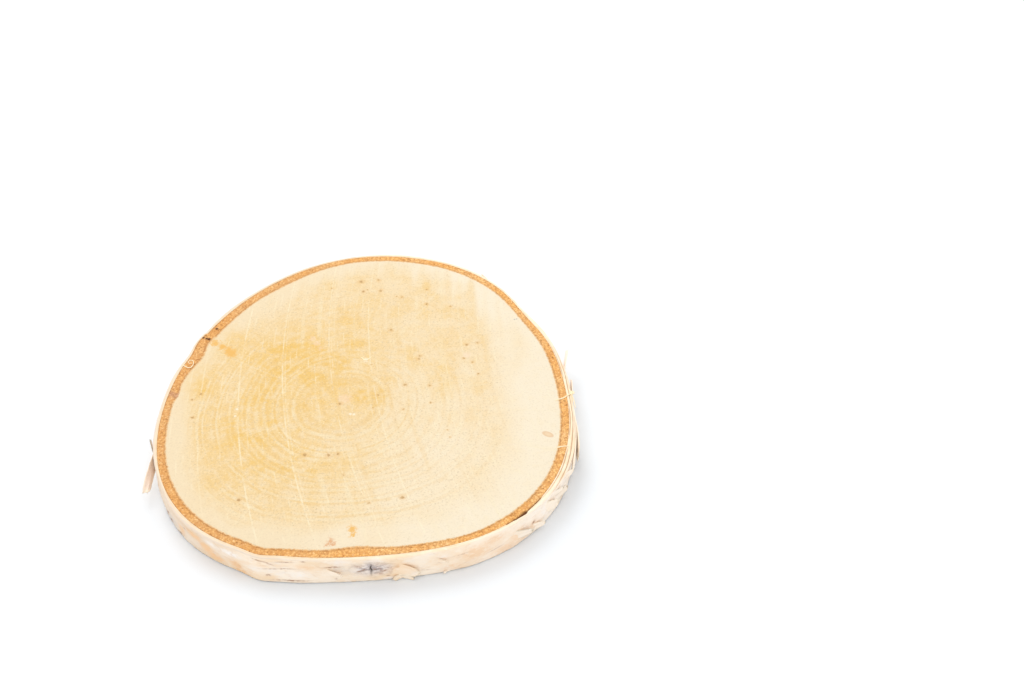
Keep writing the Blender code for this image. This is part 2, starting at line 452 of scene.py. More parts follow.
# Marks on the wall, each as (heading, height, half length, half width, slant, strength)
BROWN_LINES_AND_SHADOW = (
    (246.8, 7.5, 1.3, 0.14, -0.20, 0.7), (249.0, 6.9, 1.3, 0.14, -0.45, 0.6),
    (251.3, 5.0, 3.0, 0.14, 0.03, 0.8), (252.9, 7.4, 1.7, 0.13, 0.06, 0.7),
    # The mark at heading 264.2 is painted shadow above the lens-shaped flake; the others are the bark's own
    # brown lines and dots
    (254.0, 1.0, 3.6, 0.17, 0.02, 0.9), (264.2, 5.8, 1.7, 0.17, 0.06, 0.9),
    (248.8, 2.5, 0.45, 0.26, 0.0, 1.0), (264.8, 1.8, 0.30, 0.22, 0.0, 0.7),
    (257.3, 7.9, 0.45, 0.18, 0.0, 0.6), (270.3, 6.0, 0.8, 0.2, -0.3, 0.8),
    (271.9, 4.7, 0.6, 0.16, 0.3, 0.9), (270.9, 4.3, 0.7, 0.16, 0.2, 0.9),
    (274.6, 4.5, 0.5, 0.2, -0.4, 0.9), (277.0, 3.7, 0.6, 0.18, 0.2, 0.8),
    (275.7, 2.7, 0.7, 0.18, -0.3, 0.9), (277.7, 1.7, 0.5, 0.16, 0.0, 0.6),
    (316.9, 4.0, 0.5, 0.35, 0.5, 0.8), (317.6, 2.4, 0.7, 0.25, 0.8, 0.7),
    (335.8, 2.3, 0.5, 0.22, 0.3, 0.9), (332.1, 1.5, 0.4, 0.18, 0.3, 0.8),
    (330.3, 0.9, 0.4, 0.16, 0.2, 0.7), (296.0, 5.6, 1.8, 0.13, 0.05, 0.35),
    (305.0, 3.0, 2.0, 0.13, 0.1, 0.35), (226.0, 5.8, 1.6, 0.14, 0.0, 0.35),
    (291.0, 4.4, 0.9, 0.14, 0.3, 0.4), (287.0, 2.2, 1.4, 0.13, -0.1, 0.35),
    (215.0, 1.6, 0.9, 0.40, 0.8, 1.0), (217.0, 0.7, 0.9, 0.30, 0.6, 0.8),
    (221.8, 0.6, 1.3, 0.24, 0.3, 0.8), (205.8, 1.6, 0.6, 0.30, 0.4, 0.7),
    (224.0, 4.2, 0.5, 0.30, 0.3, 0.5),
)
TAN_PATCHES = (
    (228.2, 5.4, 2.6, 1.6, 0.0, 0.9), (231.9, 3.7, 2.4, 1.5, 0.0, 0.9), (234.5, 2.1, 2.6, 1.3, 0.0, 0.9),
    (240.6, 2.6, 1.4, 1.5, 0.0, 1.0), (241.5, 0.7, 2.2, 0.9, 0.0, 0.9), (222.5, 2.6, 1.4, 1.6, 0.0, 0.6),
    (300.0, 4.7, 4.2, 2.2, 0.0, 0.8), (307.7, 1.5, 4.0, 1.5, 0.0, 0.8), (304.8, 6.5, 3.5, 1.5, 0.0, 0.7),
    (312.3, 2.9, 3.0, 2.0, 0.0, 0.9), (316.9, 3.3, 1.4, 1.2, 0.0, 1.0), (280.5, 4.0, 2.6, 2.0, 0.0, 0.7),
    (294.0, 2.0, 3.0, 1.4, 0.0, 0.5), (258.0, 5.6, 3.0, 1.0, 0.0, 0.4),
)
WHITE_PATCHES = (
    (239.5, 6.4, 3.2, 1.1, 0.0, 1.0), (234.0, 6.6, 2.0, 1.0, 0.0, 0.7), (246.0, 4.4, 3.0, 1.2, 0.0, 0.6),
    (256.5, 3.2, 3.4, 1.3, 0.0, 0.7), (266.0, 7.2, 2.6, 0.8, 0.0, 0.6), (277.6, 0.7, 1.5, 0.6, 0.0, 1.0),
    (322.0, 4.5, 4.5, 3.0, 0.0, 0.9), (330.0, 5.0, 4.5, 3.0, 0.0, 0.9), (338.0, 4.0, 5.0, 3.5, 0.0, 0.8),
    (291.5, 6.0, 1.6, 0.8, 0.0, 0.6),
)
GREY_PATCHES = (
    (217.0, 1.4, 3.2, 1.6, 0.0, 0.8), (210.0, 3.0, 3.0, 2.5, 0.0, 0.5), (266.0, 4.8, 3.4, 1.6, 0.0, 0.45),
)


def wall_marks(marks, heading, height):
    """The strongest of several soft oval marks at each point of the wall."""
    total = 0 * (heading + height)
    for middle, level, long, wide, slant, strength in marks:
        along = turn(heading, middle) * math.pi / 180 * 56
        lift = height - level - slant * along
        total = np.maximum(total, strength * np.exp(-((along / long) ** 2) - (lift / wide) ** 2))
    return total


def widened(marks, factor):
    """The same marks with another half width."""
    return tuple((*mark[:3], mark[3] * factor, *mark[4:]) for mark in marks)


def terraces(heading, height):
    """Which torn layer shows, from 0 to 1 in crisp steps."""
    angle = np.radians(heading)
    wander = 0.30 * ripple(26 * np.cos(angle), 26 * np.sin(angle), height * 1.4, 12.0)
    level = 0.5 + 0.62 * ripple(5.5 * np.cos(angle), 5.5 * np.sin(angle), height * 0.22, 8.0) + 0.35 * wander
    scaled = np.clip(level, 0, 0.999) * TERRACE_STEPS
    step = np.floor(scaled)
    return (step + np.clip((scaled - step) / 0.10, 0, 1)) / (TERRACE_STEPS + 1)


def pore_lines(heading, height):
    """1 on the short raised lines round the trunk, faint at the front, where the listed marks take over."""
    rng = np.random.default_rng(7)
    lines = []
    for _ in range(PORE_LINES):
        middle = rng.uniform(0, 360)
        shown = between(middle, 205, 345, 4)
        level, long, wide = rng.uniform(0.8, 7.6), rng.uniform(0.6, 1.9), rng.uniform(0.12, 0.16)
        lines.append((middle, level, long, wide, rng.uniform(-0.1, 0.1), 0.75 - 0.55 * shown))
    return wall_marks(lines, heading, height)


def scar(heading, height):
    """1 on the grey branch scar at the front, fading at its edge."""
    along = turn(heading, 274.2) * math.pi / 180 * 55
    lift = height - 4.8
    edge = 0.28 * ripple(along * 0.5, lift * 0.7, 0.0, 40.0)
    return np.clip(1.45 + edge - np.sqrt((along / 5.6) ** 2 + (lift / 3.0) ** 2) * 1.25, 0, 1)


def crack(heading, height):
    """1 in the upright crack and in the wrinkles that run out of it."""
    along = turn(heading, 273.6) * math.pi / 180 * 55
    lift = height - 4.4
    upright = np.exp(-(((along + 0.12 * np.sin(lift * 3)) / 0.22) ** 2))
    upright = upright * np.clip(1.3 - np.abs(lift) / 1.9, 0, 1)
    wrinkle = np.exp(-(((lift + 0.1 + 0.15 * np.sin(along * 2.2)) / 0.18) ** 2))
    wrinkle = wrinkle * between(along, -2.6, 2.2, 0.35)
    return np.clip(upright + 0.4 * wrinkle, 0, 1)


print(len(BROWN_LINES_AND_SHADOW), "brown lines listed and", PORE_LINES, "pores strewn round the trunk")

# %% Build the outer bark
# How far each kind of relief stands out from the wall, or cuts into it
SKIN_BEHIND_RIM = 0.28
TERRACE_RISE = 0.26
FLAKY_RISE = 0.30
PORE_RISE = 0.08
LINE_CUT = 0.10
FIBRE_RISE = 0.03
SCAR_WRINKLE = 0.16
CRACK_CUT = 0.75
wall_levels = np.linspace(0.95, 0.035, 45) * TOP
heading_grid, level_grid = np.meshgrid(bark_heading, wall_levels)
terrace_grid = terraces(heading_grid, level_grid)
pore_grid = pore_lines(heading_grid, level_grid)
line_grid = wall_marks(widened(BROWN_LINES_AND_SHADOW, 1.25), heading_grid, level_grid)
flaky_grid = between(heading_grid, 309, 344, 2.5)
scar_grid = scar(heading_grid, level_grid)
crack_grid = crack(heading_grid, level_grid)
around_x = np.cos(np.radians(heading_grid))
around_y = np.sin(np.radians(heading_grid))
fibre_grid = ripple(70 * around_x, 70 * around_y, level_grid * 2.4, 15.0)
wall_radius = (
    rim(heading_grid, level_grid)
    - SKIN_BEHIND_RIM
    + (TERRACE_RISE + FLAKY_RISE * flaky_grid) * terrace_grid * (1 - scar_grid)
    + PORE_RISE * pore_grid
    - LINE_CUT * line_grid
    + FIBRE_RISE * fibre_grid
    + SCAR_WRINKLE * scar_grid * ripple(30 * around_x, 30 * around_y, level_grid * 1.6, 21.0)
    - CRACK_CUT * crack_grid
)
wall = place(wall_radius, heading_grid, level_grid)
top_lip_shares = np.linspace(0, 1, 14)
low_lip_shares = np.linspace(0, 1, 8)
lip_pile = between(bark_heading, -33, 20, 3)
groove_depth = 0.10 + 0.30 * lip_pile


def groove(share):
    """1 in the gaps between layers, at a share of the way across the sawn edge of the bark."""
    wander = 0.5 * ripple(arc_x * 0.10, arc_y * 0.10, 3.0, 1.0)
    wave = np.sin((share * (1.1 + 0.9 * lip_pile) + wander) * 2 * math.pi)
    return np.clip(2.4 * wave - 1.5, 0, 1) * (0.1 < share < 0.95)


def lip_radius(share, top_side):
    """Radius at a share of the way across the sawn edge of the bark."""
    outer = wall_radius[0 if top_side else -1]
    return ring_edge(bark_heading) + share * (outer - 0.06 - ring_edge(bark_heading))


def lip(top_side):
    """The sawn edge of the bark, with fine gaps between its layers, as rows from the inside out."""
    rows = []
    for share in top_lip_shares if top_side else low_lip_shares:
        radius = lip_radius(share, top_side)
        rough = 0.018 * ripple(arc_x * 1.6, arc_y * 1.6, share * 3, 17.0)
        drop = 0.07 + groove_depth * groove(share) + rough + 0.30 * share**4
        drop = drop + 0.6 * gap(radius) * top_side
        rows.append(place(radius, bark_heading, TOP - drop if top_side else drop))
    return rows


TUCKED_UNDER = 0.2
tucked = ring_edge(bark_heading) - TUCKED_UNDER
rows = [place(tucked, bark_heading, TOP - 0.9)] + lip(True) + list(wall) + lip(False)[::-1]
rows.append(place(tucked, bark_heading, 0.9))
outer_bark = skin("outer_bark", np.stack(rows))

# %% Masks on the outer bark


def whole(grid, on_lip=0.0):
    """A wall mask stretched to every row of the bark, with one value on the sawn lips."""
    upper = np.full((len(top_lip_shares) + 1, AROUND_BARK), on_lip)
    lower = np.full((len(low_lip_shares) + 1, AROUND_BARK), on_lip)
    return np.concatenate([upper, grid, lower])


def on_lips(upper, lower):
    """A mask of the sawn lips alone, stretched to every row of the bark."""
    blank_row = np.zeros((1, AROUND_BARK))
    return np.concatenate([blank_row, upper, 0 * wall_radius, lower[::-1], blank_row])


def groove_shown(share):
    """1 in the gaps between layers where they are piled up, and hardly any elsewhere."""
    return groove(share) * (0.05 + 0.95 * lip_pile)


def outermost(share):
    """1 on the outermost skin of the lip, less where layers are piled up."""
    return np.clip(share * 2.6 - 0.9, 0, 1) * (1 - 0.75 * lip_pile)


# Where the terraces step, for a brown line that is partly the torn edges' own colour and partly painted shade
# along each step
edge_grid = np.abs(np.gradient(terrace_grid, axis=0)) + 0.5 * np.abs(np.gradient(terrace_grid, axis=1))
masks = {
    "torn_edge_and_shade": np.clip(edge_grid * 6, 0, 1),
    "pore": pore_grid,
    "scar": scar_grid,
    "crack": crack_grid,
    "line": line_grid,
    "tan": wall_marks(TAN_PATCHES, heading_grid, level_grid),
    "white": wall_marks(WHITE_PATCHES, heading_grid, level_grid),
    "grey": wall_marks(GREY_PATCHES, heading_grid, level_grid),
}
for name, grid in masks.items():
    note(outer_bark, name, whole(grid))
note(outer_bark, "terrace", whole(terrace_grid, 0.5))
note(outer_bark, "lip", whole(0 * wall_radius, 1.0))
for name, rule in (("groove", groove_shown), ("outermost", outermost)):
    upper = np.stack([rule(share) for share in top_lip_shares])
    lower = np.stack([rule(share) for share in low_lip_shares])
    note(outer_bark, name, on_lips(upper, lower))
gap_above = np.stack([gap(lip_radius(share, True)) for share in top_lip_shares])
note(outer_bark, "gap", on_lips(gap_above, 0 * lower))
print("share of the rim on a torn edge:", round(float((edge_grid * 6 > 0.5).mean()), 3))

# %% [markdown]
# ## Peeling strips
#
# Birch bark peels round the trunk, so each strip is rooted at one heading and stands free at another,
# curling further out as it goes. A strip is a thin sheet with ragged edges. It could be a flat face
# with a see-through edge, but real bark has a thickness that shows, so each sheet has two sides.
# The places and sizes are those of the strips on the measured solid.

# %% Strip helper
ROOT_DEPTH = 0.75
SHEET_OUT = 0.2
# A strip rooted this high was sawn along its top edge, which is straight
SAWN_ABOVE = 7.85
# Each as (root heading, tip heading, stand-off at the tip, bottom and top at the root, bottom and top
# at the tip, how much further out the top edge leans, thickness, how weathered)
STRIPS = {
    "peel_left": (196.5, 208.5, 2.9, (2.4, 6.8), (3.0, 4.7), 1.8, 0.28, 0.0),
    "peel_left_nub": (202.5, 194.5, 0.55, (4.6, 7.8), (6.0, 7.7), 0.2, 0.26, 0.9),
    "leaf_right_long": (-5.0, -19.0, 1.25, (0.8, 7.9), (1.4, 7.8), 0.3, 0.60, 0.0),
    "leaf_right_mid": (-2.0, -25.0, 0.70, (3.0, 8.1), (4.0, 8.0), 0.0, 0.55, 0.0),
    "leaf_right_back": (-4.0, 9.5, 0.9, (1.0, 8.0), (3.2, 7.8), 0.0, 0.34, 0.0),
    "free_sliver": (10.5, 20.5, 2.9, (4.6, 8.0), (6.0, 7.7), 1.0, 0.30, 0.0),
    "torn_tooth_1": (-34.0, -28.5, 0.9, (1.6, 6.2), (2.8, 5.2), 0.0, 0.26, 0.3),
    "torn_tooth_2": (-40.0, -34.5, 1.0, (2.4, 7.2), (3.4, 6.0), 0.0, 0.26, 0.0),
    "torn_tooth_3": (-50.5, -44.5, 0.8, (1.6, 5.4), (2.4, 3.8), 0.0, 0.26, 0.3),
    "torn_tooth_4": (-29.5, -25.0, 0.9, (4.8, 7.9), (5.8, 7.2), 0.0, 0.24, 0.0),
    "torn_tooth_5": (-36.5, -31.5, 0.7, (5.4, 7.9), (6.2, 7.4), 0.0, 0.24, 0.3),
    "torn_tooth_6": (-45.0, -40.0, 0.7, (0.6, 4.0), (1.4, 2.8), 0.0, 0.24, 0.0),
    "front_flake": (278.0, 285.3, 0.38, (1.4, 8.0), (1.0, 3.4), 0.0, 0.24, 0.0),
    "foot_fold": (280.4, 284.0, 0.32, (0.1, 2.4), (0.1, 0.9), -0.3, 0.26, 0.35),
    "foot_chip": (282.2, 278.9, 0.20, (0.3, 2.2), (0.2, 1.7), -0.1, 0.24, 0.0),
    "lens_flake": (262.0, 266.5, 0.6, (2.8, 5.4), (3.4, 4.6), 0.2, 0.24, 0.0),
    "small_flake": (289.5, 292.5, 0.55, (4.2, 6.0), (4.8, 5.4), 0.2, 0.22, 0.0),
    "foot_flake": (293.4, 291.2, 0.20, (0.2, 1.2), (0.4, 0.9), 0.0, 0.20, 0.0),
    "back_fleck": (56.5, 61.5, 0.8, (6.2, 8.0), (6.8, 7.8), 0.0, 0.26, 0.0),
}


def strip(name, root, tip, stand_off, root_span, tip_span, lean, sheet, weathered, seed):
    """A thin two-sided sheet of bark, rooted inside the rim at one heading and free at another."""
    along = np.linspace(0, 1, 46)[:, None]
    across = np.linspace(0, 1, 17)[None, :]
    torn_tip = 0.28 * ripple(across * 3.5, along * 0, 9.0, seed)
    torn_tip = torn_tip + 0.14 * ripple(across * 9, along * 0, 4.0, seed)
    heading = root + (tip - root) * along + (tip_span[1] - tip_span[0]) * torn_tip * along**2
    heading = heading + 1.2 * ripple(across * 2.5, along * 0, 7.0, seed) * (1 - along)
    ragged = 0.35 * ripple(along * 9, across * 0, 0.0, seed)
    ragged = ragged + 0.16 * ripple(along * 30, across * 0, 1.0, seed)
    ragged_low = 0.35 * ripple(along * 8, across * 0, 5.0, seed)
    ragged_low = ragged_low + 0.16 * ripple(along * 28, across * 0, 6.0, seed)
    low = root_span[0] + (tip_span[0] - root_span[0]) * along + ragged_low * along
    high = root_span[1] + (tip_span[1] - root_span[1]) * along + ragged * along * (root_span[1] < SAWN_ABOVE)
    taper = np.clip((1 - along) / 0.12, 0.04, 1) ** 0.5
    middle = (low + high) / 2
    height = middle + (across - 0.5) * (high - low) * taper
    cupped = 0.18 * (2 * across - 1) ** 2 * along
    off = -ROOT_DEPTH + (stand_off + ROOT_DEPTH) * along**1.2 + cupped + lean * (across - 0.5) * along**0.7
    off = off + 0.10 * ripple(along * 5, across * 3, 2.0, seed) * along
    base = rim(heading, (root_span[0] + root_span[1]) / 2)
    half = sheet / 2 * np.clip(np.minimum(across, 1 - across) * 8, 0.35, 1)
    half = half * np.clip((1 - along) * 10, 0.3, 1)
    outer_face = place(base + off + SHEET_OUT + half, heading, np.clip(height, 0.1, TOP - 0.05))
    inner_face = place(base + off + SHEET_OUT - half, heading, np.clip(height, 0.1, TOP - 0.05))
    loops = np.concatenate([outer_face, inner_face[:, ::-1]], axis=1)
    ends = [loops[0].mean(axis=0), loops[-1].mean(axis=0)]
    back = np.concatenate([0 * heading, 1 + 0 * heading], axis=1)
    edge = np.clip(1 - np.minimum(across, 1 - across) * 7, 0, 1) + 0 * heading
    edge = np.maximum(edge, np.clip(along * 8 - 7, 0, 1))
    edge = np.concatenate([edge, edge[:, ::-1]], axis=1)
    if tip > root:
        loops, back, edge = loops[:, ::-1], back[:, ::-1], edge[:, ::-1]
    piece = skin(name, loops, ends)
    note(piece, "back", np.append(back.ravel(), [0, 0]))
    note(piece, "edge", np.append(edge.ravel(), [0, 1]))
    note(piece, "weathered", np.full(loops.shape[0] * loops.shape[1] + 2, weathered))
    return piece


strips = [strip(name, *shape, seed=3.0 * number) for number, (name, shape) in enumerate(STRIPS.items())]

# %% [markdown]
# ## Loose fibres
#
# The saw pulled a few pale threads out of the bark. Three lie across the orange ring on the right,
# one of them in a loose knot. One has curled up on the upper left, and a short bright one sticks up
# in the wood above the pith.
# A thread is a curve with a round section, which is lighter and smoother than any mesh made by hand.

# %% Thread helper


def thread(name, path, thickness):
    """A thin tapering thread through points given as x, y and height above the top face, in mm."""
    curve = bpy.data.curves.new(name, "CURVE")
    curve.dimensions = "3D"
    curve.bevel_depth = thickness / 2 * MM
    curve.bevel_resolution = 2
    curve.resolution_u = 8
    curve.use_fill_caps = True
    spline = curve.splines.new("NURBS")
    spline.points.add(len(path) - 1)
    for number, (point, (px, py, pz)) in enumerate(zip(spline.points, path)):
        point.co = ((px + MIDDLE[0]) * MM, (py + MIDDLE[1]) * MM, (TOP + pz) * MM, 1)
        point.radius = 1 - 0.55 * (number / (len(path) - 1)) ** 2
    spline.use_endpoint_u = True
    spline.order_u = 4
    piece = bpy.data.objects.new(name, curve)
    bpy.context.scene.collection.objects.link(piece)
    return piece


# Each as its thickness and its points
THREADS = {
    "thread_right_upper": (0.38, (
        (48.4, -1.6, 0), (49.2, -1.2, 0.02), (50.5, -1.0, 0.02), (51.4, 0.2, 0.02), (52.4, 0.8, 0.02),
        (52.9, 0.9, 0), (53.2, 1.8, -0.1),
    )),
    "thread_right_knot": (0.40, (
        (52.0, 2.6, -0.1), (52.4, 1.4, 0), (53.0, 0.6, 0.02), (53.4, 1.2, 0.02), (52.9, 1.9, 0.02),
        (52.3, 1.2, 0.04), (52.9, -0.2, 0), (53.3, -2.0, -0.1), (53.5, -4.2, -0.2),
    )),
    "thread_right_lower": (0.40, (
        (48.4, -18.7, 0), (49.4, -18.3, 0.02), (50.6, -18.1, 0.02), (51.6, -18.2, -0.05),
    )),
    "thread_curl": (0.26, (
        (-51.8, 11.8, 0), (-50.9, 11.0, 0.02), (-49.9, 10.5, 0.02), (-49.3, 11.2, 0.02), (-49.0, 12.4, 0.02),
        (-49.4, 13.7, 0.02), (-50.4, 13.8, 0.02), (-50.7, 12.8, 0.02), (-50.1, 12.2, 0.02), (-49.7, 12.6, 0),
    )),
    "thread_by_pith": (0.30, (
        (-3.9, 14.9, 0), (-3.3, 13.9, 0.05), (-2.6, 13.4, 0.06), (-2.0, 14.0, 0.05), (-1.3, 15.2, 0),
    )),
}
threads = [thread(name, path, thickness) for name, (thickness, path) in THREADS.items()]
print(len(threads), "threads")

# %% [markdown]
# ## Building a material
#
# Each finish is a small tree of nodes. It could be wired by hand in the shader editor, but a few helpers
# let it be read as a list of steps. `finish` starts a new tree, and every other helper adds to that tree:
# it adds one node, sets what it is given, and hands back the node's output.
# All patterns are measured in millimetres on the slice itself, so they keep their scale.

# %% Node helpers


def finish(name, roughness):
    """Start a new material; the helpers below then add their nodes to its tree."""
    global tree, shader
    made = bpy.data.materials.new(name)
    made.use_nodes = True
    tree = made.node_tree
    shader = tree.nodes["Principled BSDF"]
    shader.inputs["Roughness"].default_value = roughness
    shader.inputs["Specular IOR Level"].default_value = 0.3
    return made


def feed(socket, value):
    """Link a socket to another node's output, or set its number or colour."""
    if isinstance(value, bpy.types.NodeSocket):
        tree.links.new(value, socket)
    elif value is not None:
        socket.default_value = value


def add(kind, values=(), out=0, **settings):
    """Add a node, fill its sockets in order (None leaves one alone), and return one output."""
    node = tree.nodes.new(kind)
    for key, value in settings.items():
        setattr(node, key, value)
    for socket, value in zip(node.inputs, values):
        feed(socket, value)
    return node.outputs[out]


def maths(operation, *values, clamp=False):
    """Arithmetic on numbers; with clamp, the result is kept between 0 and 1."""
    return add("ShaderNodeMath", values, operation=operation, use_clamp=clamp)


def times(*values, clamp=False):
    """All the values multiplied."""
    product = values[0]
    for value in values[1:]:
        product = maths("MULTIPLY", product, value, clamp=clamp)
    return product


def vector(operation, *values, out=0):
    """Arithmetic on places and directions; output 1 is a length or a distance."""
    return add("ShaderNodeVectorMath", values, out=out, operation=operation)


def stored(name):
    """A number that was kept on the mesh's points."""
    return add("ShaderNodeAttribute", out=2, attribute_name=name)


def blend(share, first, second):
    """From the first colour to the second as share goes from 0 to 1."""
    node = tree.nodes.new("ShaderNodeMix")
    node.data_type = "RGBA"
    feed(node.inputs[0], share)
    feed(node.inputs[6], (*first, 1) if isinstance(first, tuple) else first)
    feed(node.inputs[7], (*second, 1) if isinstance(second, tuple) else second)
    return node.outputs[2]


def lay(share, tint, strength=1.0):
    """Lay a tint over the colour so far."""
    global colour
    colour = blend(share if strength == 1.0 else times(share, strength), colour, tint)


def fade(value, start, end, low=0.0, high=1.0):
    """A soft step from low to high while the value goes from start to end."""
    return add("ShaderNodeMapRange", (value, start, end, low, high), interpolation_type="SMOOTHSTEP")


def slice_place():
    """Where a point is on the slice, in millimetres from the outline's middle."""
    in_mm = vector("MULTIPLY", add("ShaderNodeTexCoord", out=3), (1000, 1000, 1000))
    return vector("SUBTRACT", in_mm, (*MIDDLE, 0))


def rightward(spot):
    """How far a point lies to the right of the outline's middle."""
    return add("ShaderNodeSeparateXYZ", (spot,))


def stretch(where, amounts):
    """Places drawn out or pressed together along each axis, to stretch a pattern."""
    return vector("MULTIPLY", where, amounts)


def cloudy(where, scale, detail=2.0, roughness=0.5):
    """Noise from 0 to 1, with scale in lumps per millimetre."""
    return add("ShaderNodeTexNoise", (where, None, scale, detail, roughness))


def cloudy_fade(where, scale, detail, roughness, *steps):
    """Noise made crisper by a soft step."""
    return fade(cloudy(where, scale, detail, roughness), *steps)


def near_marks(where, marks, soft=0.6):
    """1 inside small round marks given as x, y and radius in mm on the top face, fading at their edges."""
    total = None
    for mark_x, mark_y, size in marks:
        far = vector("DISTANCE", where, (mark_x, mark_y, TOP), out=1)
        inside_mark = fade(far, size, size * (1 - soft))
        total = inside_mark if total is None else maths("MAXIMUM", total, inside_mark)
    return total


def coloured_and_bumped(height, distance, strength):
    """Give the shader its colour, and small relief from a height pattern; distance is how tall, in mm."""
    feed(shader.inputs["Base Color"], colour)
    feed(shader.inputs["Normal"], add("ShaderNodeBump", (strength, distance * MM, None, height)))


# %% [markdown]
# ## The finish of sawn birch
#
# Birch is pale and fine. From the bark inward it goes from cream to peach, with yellow in the middle.
# Year rings show as pale thin lines between broader yellow ones, clearest on the left.
# Small brown flecks mark where an insect once fed, and there are a few stains near the bark.
# The saw's arcs show as pale scratches about 11 mm apart with fainter ones between.
# The flecks sit at the places where the real ones are, as a short list of round marks
# whose edges are then roughened. Scattering them by chance would be shorter but would look like pepper.

# %% Marks on the wood
# Each as (x, y, radius)
FLECKS = (
    (-6.5, 46.8, 0.62), (-1.5, 47.5, 0.45), (-5.5, 42.5, 0.45), (-0.7, 42.8, 0.52), (5.5, 40.0, 0.38),
    (12.8, 37.0, 0.42), (3.3, 26.0, 0.48), (11.8, 15.5, 0.42), (11.5, 14.3, 0.40), (24.5, 20.0, 0.42),
    (27.5, 20.8, 0.38), (23.8, 14.5, 0.32), (26.2, 13.0, 0.32), (8.5, 4.2, 0.42), (15.0, 4.0, 0.40),
    (1.5, 0.3, 0.36), (8.5, -5.0, 0.30), (0.5, -4.5, 0.25), (-15.5, -21.3, 0.62), (-9.5, -21.3, 0.52),
    (-7.2, -21.0, 0.50), (-30.0, -36.3, 0.48), (-45.2, 0.7, 0.40), (-47.2, -1.5, 0.36), (-46.0, -8.0, 0.36),
    (10.0, -35.5, 0.45), (1.8, -37.3, 0.34), (21.0, -15.0, 0.26), (-8.2, -3.0, 0.50), (12.5, 43.3, 0.30),
    (19.5, 36.0, 0.32), (-14.7, 43.8, 0.28), (-5.1, -28.0, 0.36), (15.5, -2.5, 0.26), (20.5, -12.5, 0.24),
    (27.8, 8.5, 0.30), (-20.5, 22.0, 0.24), (-1.0, 12.0, 0.22), (4.0, 40.3, 0.26), (-4.5, 43.2, 0.28),
)
ORANGE_STAINS = (
    (-39.5, 16.6, 2.3), (-40.4, 18.0, 1.6), (-42.3, 19.1, 1.5), (-44.4, 20.6, 1.7), (-46.0, 22.0, 1.9),
    (-46.0, 26.0, 1.6), (-1.5, -45.5, 1.5), (-1.2, -47.3, 1.0),
)
RED_STAINS = ((-6.2, -49.0, 1.1), (-5.6, -50.2, 0.9), (-7.0, -50.3, 0.8))
PINK_PATCHES = (
    (-18.0, 22.5, 1.4), (-16.5, 20.5, 1.5), (-15.2, 18.4, 1.2), (24.6, 15.8, 1.6), (-7.0, -1.2, 2.6),
)
WHITE_SPECKS = (
    (-5.1, -6.7, 0.5), (-4.2, -6.9, 0.45), (-2.7, 13.9, 0.9), (-34.9, -5.0, 0.5), (-35.0, -7.5, 0.45),
)
SCRAPES = ((37.6, 30.4, 0.35), (38.2, 30.6, 0.30))
KNOT_MIDDLE = (46.1, -14.0)
KNOT_HALF_LONG, KNOT_HALF_WIDE = 1.75, 0.95
print(len(FLECKS), "flecks and", len(ORANGE_STAINS) + len(RED_STAINS), "stained spots")

# %% Ground colour of the wood
YEARS = 25
CREAM = (0.765, 0.672, 0.516)
PEACH = (0.724, 0.576, 0.364)
YELLOW = (0.712, 0.452, 0.118)
PALE_LINE = (0.755, 0.655, 0.440)
BAND_TAN = (0.680, 0.450, 0.170)

wood_look = finish("sawn birch", 0.62)
spot = slice_place()
growth_here = stored("growth")
saw_here = stored("saw")
heart_here = stored("heart")
yellow_here = stored("yellow")

side_to_side = rightward(spot)
uneven = maths("MULTIPLY_ADD", cloudy(spot, 0.07, 3.0), 40.0, -20.0)
toward_left = fade(maths("ADD", side_to_side, uneven), 34.0, -38.0)
colour = blend(times(toward_left, 0.8), CREAM, PEACH)
mottled = cloudy_fade(spot, 0.18, 4.0, 0.62, 0.28, 0.74, 0.60, 1.40)
lay(times(yellow_here, mottled, clamp=True), YELLOW)
print("nodes for the wood's ground colour:", len(tree.nodes))

# %% Year rings
years = times(growth_here, float(YEARS))
uneven_years = add("ShaderNodeTexNoise", (None, years, 0.45, 2.0, 0.6), noise_dimensions="1D")
wobble = maths("MULTIPLY_ADD", cloudy(spot, 0.12, 3.0, 0.6), 1.1, times(uneven_years, 1.3))
wave = maths("COSINE", times(maths("ADD", years, wobble), 2 * math.pi))
strong_years = add("ShaderNodeTexNoise", (None, years, 0.8, 1.0, 0.5), noise_dimensions="1D")
far_to_near = add("ShaderNodeSeparateXYZ", (spot,), out=1)
ring_share = times(
    cloudy_fade(spot, 0.075, 3.0, 0.6, 0.30, 0.55, 0.20, 1.0),
    fade(side_to_side, 36.0, -16.0, 0.32, 1.25),
    fade(strong_years, 0.30, 0.66, 0.25, 1.3),
    heart_here,
    fade(maths("ADD", far_to_near, uneven), 30.0, 0.0, 0.26, 1.0),
    fade(growth_here, 0.05, 0.26, 0.30, 1.0),
    cloudy_fade(spot, 0.8, 4.0, 0.7, 0.36, 0.58, 0.40, 1.10),
)
lay(times(fade(wave, -0.6, 0.9), ring_share), PALE_LINE, 0.30)
lay(times(fade(wave, 0.1, -0.9), ring_share), BAND_TAN, 0.30)
FIRST_BOLD_YEAR = 0.176
first_year = fade(maths("ABSOLUTE", maths("SUBTRACT", growth_here, FIRST_BOLD_YEAR)), 0.030, 0.004)
lay(times(first_year, cloudy_fade(spot, 0.2, 2.0, 0.5, 0.35, 0.6, 0.3, 1.0)), BAND_TAN, 0.42)
print("year rings drawn:", YEARS)

